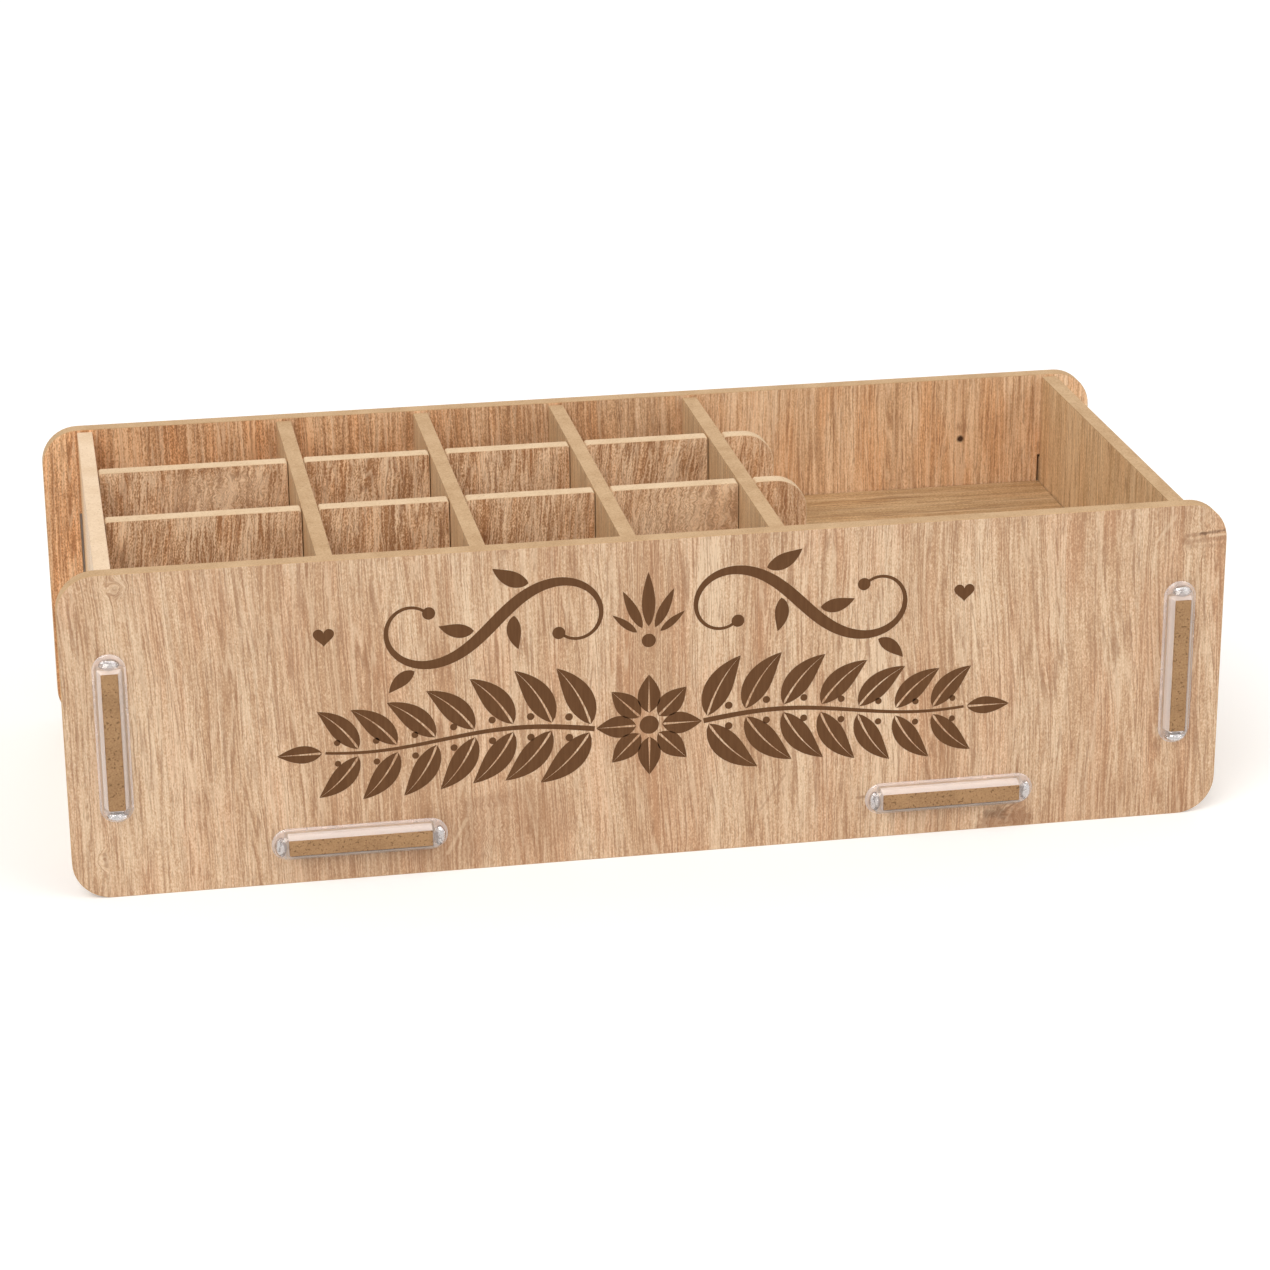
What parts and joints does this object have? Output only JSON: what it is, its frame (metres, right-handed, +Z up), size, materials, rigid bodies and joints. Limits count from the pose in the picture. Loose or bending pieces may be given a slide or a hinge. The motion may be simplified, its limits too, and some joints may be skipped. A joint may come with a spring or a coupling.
{
  "type": "vanity organizer",
  "caption": "Open-topped desktop organizer of slot-together wood-decor board, with a lift-out divider grid, a raised tray at one end and clear push-on clips on the tab ends.",
  "frame": {"origin": "middle of the footprint, on the surface that the organizer stands on", "axes": "+X along the long front towards the tray end, -Y towards the user, +Z up"},
  "size_m": [0.361, 0.161, 0.104],
  "materials": {
    "oak_decor_board": "matte light oak decor foil on fibreboard, pale raw sawn edges",
    "clear_plastic": "clear, polished"
  },
  "bodies": {
    "case": {"front_panel": "oak_decor_board", "back_panel": "oak_decor_board", "left_side_panel": "oak_decor_board", "right_side_panel": "oak_decor_board", "floor_panel": "oak_decor_board", "front_left_side_clip": "clear_plastic", "front_left_floor_clip": "clear_plastic", "front_right_side_clip": "clear_plastic", "front_right_floor_clip": "clear_plastic", "back_left_side_clip": "clear_plastic", "back_left_floor_clip": "clear_plastic", "back_right_side_clip": "clear_plastic", "back_right_floor_clip": "clear_plastic"},
    "divider_insert": {"long_divider_front": "oak_decor_board", "long_divider_back": "oak_decor_board"},
    "cross_divider_1": {"cross_divider_1": "oak_decor_board"},
    "cross_divider_2": {"cross_divider_2": "oak_decor_board"},
    "cross_divider_3": {"cross_divider_3": "oak_decor_board"},
    "cross_divider_4": {"cross_divider_4": "oak_decor_board"},
    "tray_floor": {"tray_floor": "oak_decor_board"}
  },
  "joints": [
    {"name": "divider_insert_lift", "type": "slide", "parent": "case", "child": "divider_insert", "axis": [0, 0, 1], "range_m": [0, 0.1]},
    {"name": "cross_divider_1_lift", "type": "slide", "parent": "divider_insert", "child": "cross_divider_1", "axis": [0, 0, 1], "range_m": [0, 0.1]},
    {"name": "cross_divider_2_lift", "type": "slide", "parent": "divider_insert", "child": "cross_divider_2", "axis": [0, 0, 1], "range_m": [0, 0.1]},
    {"name": "cross_divider_3_lift", "type": "slide", "parent": "divider_insert", "child": "cross_divider_3", "axis": [0, 0, 1], "range_m": [0, 0.1]},
    {"name": "cross_divider_4_lift", "type": "slide", "parent": "divider_insert", "child": "cross_divider_4", "axis": [0, 0, 1], "range_m": [0, 0.1]},
    {"name": "tray_floor_lift", "type": "slide", "parent": "divider_insert", "child": "tray_floor", "axis": [0, 0, 1], "range_m": [0, 0.06]}
  ]
}
